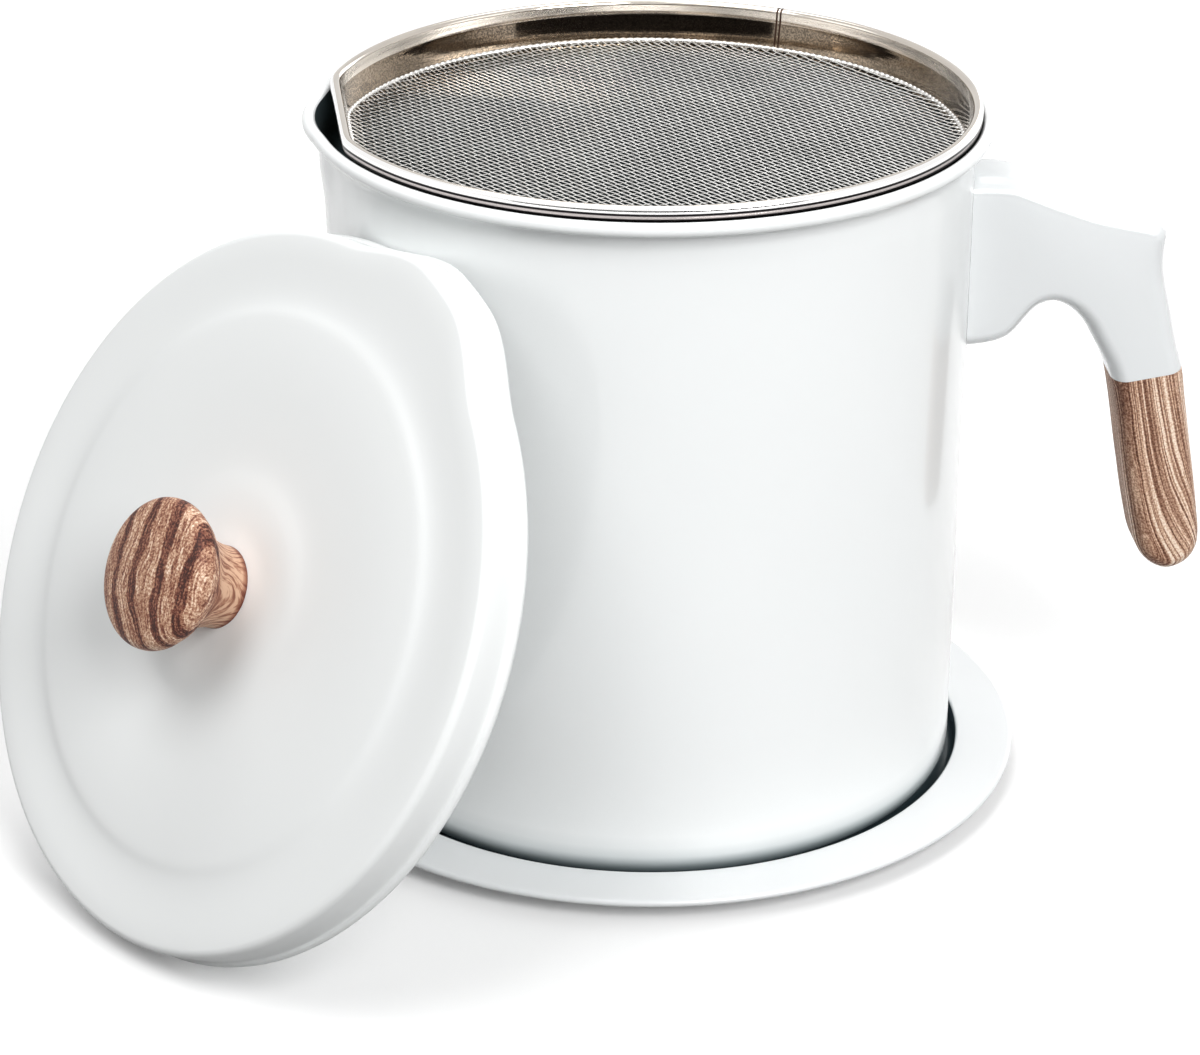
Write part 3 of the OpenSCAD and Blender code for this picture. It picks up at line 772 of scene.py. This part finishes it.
# ---------- floor, light, camera: places and sizes in metres, lamps in watts ----------
FLOOR_BOUNCE, FLOOR_SEEN, FLOOR_LIFT, FLOOR_WHITE = 0.2, 0.9, 0.11, 0.9
FLOOR_NEAR, FLOOR_FAR, FLOOR_DROP = 0.5, 2.4, 0.0002
WORLD_LIGHT = 0.19
AIM = (0, 0, 0.08)
LAMPS = [("key", (0.70, -1.56, 1.28), 1.0, 38.5), ("back", (0.05, 0.6, 1.5), 0.9, 9),
         ("left", (-0.60, -0.50, 1.36), 0.8, 8.5), ("right", (1.15, -0.5, 0.8), 0.6, 1.2),
         ("side", (-1.2, -0.1, 0.75), 0.6, 1.3), ("rear", (0.95, 1.25, 0.42), 0.8, 4)]
# the camera as solved from the photo, its angles in radians and its lens in photo pixels
CAM_AT = (-0.06136, -0.70280, 0.37505)
CAM_PITCH, CAM_YAW, CAM_ROLL = 0.433, -0.014 + math.radians(5), 0.004
FOCAL_PX, PHOTO_W, SENSOR_W = 3748.19, 1200, 36


def seen(nt):
    """1 on rays from the camera and on mirrored or refracted ones, 0 on the rest."""
    lp = node(nt, "ShaderNodeLightPath").outputs
    a = calc(nt, "ADD", lp["Is Camera Ray"], lp["Is Glossy Ray"])
    return calc(nt, "ADD", a, lp["Is Transmission Ray"], use_clamp=True)


def build_floor():
    """White where it is seen, darker where it throws light on the object."""
    m, nt, b = principled("floor_paper", Roughness=0.9, Specular_IOR_Level=0.1,
                          Emission_Color=(1, 1, 1, 1))
    on_screen = seen(nt)
    obj = object_at(nt)
    pale = ramp(nt, noise(nt, obj, 3.0),
                [(0.3, (FLOOR_SEEN,) * 3), (0.7, (FLOOR_SEEN + 0.01,) * 3)])
    paper = node(nt, "ShaderNodeMix", {"Factor": on_screen, "A": (FLOOR_BOUNCE,) * 3 + (1,),
                                       "B": pale}, data_type="RGBA")
    nt.links.new(paper.outputs["Result"], b.inputs["Base Color"])
    # the lamps don't reach the far floor, so it is lifted to the same white there
    out = node(nt, "ShaderNodeVectorMath", {0: obj}, operation="LENGTH").outputs["Value"]
    far = spread(nt, out, FLOOR_NEAR, FLOOR_FAR, FLOOR_LIFT, FLOOR_WHITE)
    nt.links.new(calc(nt, "MULTIPLY", on_screen, far), b.inputs["Emission Strength"])
    corners = [(-4000, -4000, 0), (4000, -4000, 0), (4000, 4000, 0), (-4000, 4000, 0)]
    floor = mesh_object("floor", corners, [(0, 1, 2, 3)], [m], smooth=False)
    floor.location.z = -FLOOR_DROP


def build_board():
    """A dark board in front of the table, under the lamp: only the metal shows it."""
    m, nt, b = principled("dark_board", Roughness=0.9)
    n = node(nt, "ShaderNodeTexNoise", {"Scale": 2.0})
    black = ramp(nt, n.outputs["Fac"], [(0.3, (0.01, 0.009, 0.008)), (0.7, (0.014, 0.012, 0.01))])
    nt.links.new(black, b.inputs["Base Color"])
    corners = [(-1600, -1300, 0), (1400, -1300, 0), (1400, -1300, 520), (-1600, -1300, 520)]
    board = mesh_object("board", corners, [(0, 1, 2, 3)], [m], smooth=False)
    board.visible_camera = False


def build_world():
    """Low even light, and plain white where it is seen."""
    world = bpy.data.worlds.new("studio")
    bpy.context.scene.world = world
    world.use_nodes = True
    nt = world.node_tree
    bg = next(n for n in nt.nodes if n.type == "BACKGROUND")
    bg.inputs["Color"].default_value = (1, 1, 1, 1)
    level = spread(nt, seen(nt), 0, 1, WORLD_LIGHT, 1.0)
    nt.links.new(level, bg.inputs["Strength"])


def area(name, at, size, power):
    """Square lamp that points at the object."""
    d = bpy.data.lights.new(name, "AREA")
    d.shape = "RECTANGLE"
    d.size = d.size_y = size
    d.energy = power
    o = bpy.data.objects.new(name, d)
    bpy.context.scene.collection.objects.link(o)
    o.location = at
    o.rotation_euler = (Vector(AIM) - Vector(at)).to_track_quat("-Z", "Y").to_euler()


def build_camera():
    data = bpy.data.cameras.new("camera")
    data.sensor_width = SENSOR_W
    data.lens = FOCAL_PX / PHOTO_W * SENSOR_W
    data.clip_start, data.clip_end = 0.05, 50
    cam = bpy.data.objects.new("camera", data)
    bpy.context.scene.collection.objects.link(cam)
    flat = math.cos(CAM_PITCH)
    fwd = Vector((math.sin(CAM_YAW) * flat, math.cos(CAM_YAW) * flat, -math.sin(CAM_PITCH)))
    right = Vector((math.cos(CAM_YAW), -math.sin(CAM_YAW), 0))
    up = right.cross(fwd)
    r2 = right * math.cos(CAM_ROLL) + up * math.sin(CAM_ROLL)
    u2 = -right * math.sin(CAM_ROLL) + up * math.cos(CAM_ROLL)
    cam.matrix_world = Matrix.Translation(CAM_AT) @ Matrix((r2, u2, -fwd)).transposed().to_4x4()
    bpy.context.scene.camera = cam


build_floor()
build_board()
build_world()
for lamp in LAMPS:
    area(*lamp)
build_camera()
bpy.context.scene.view_settings.view_transform = "Standard"
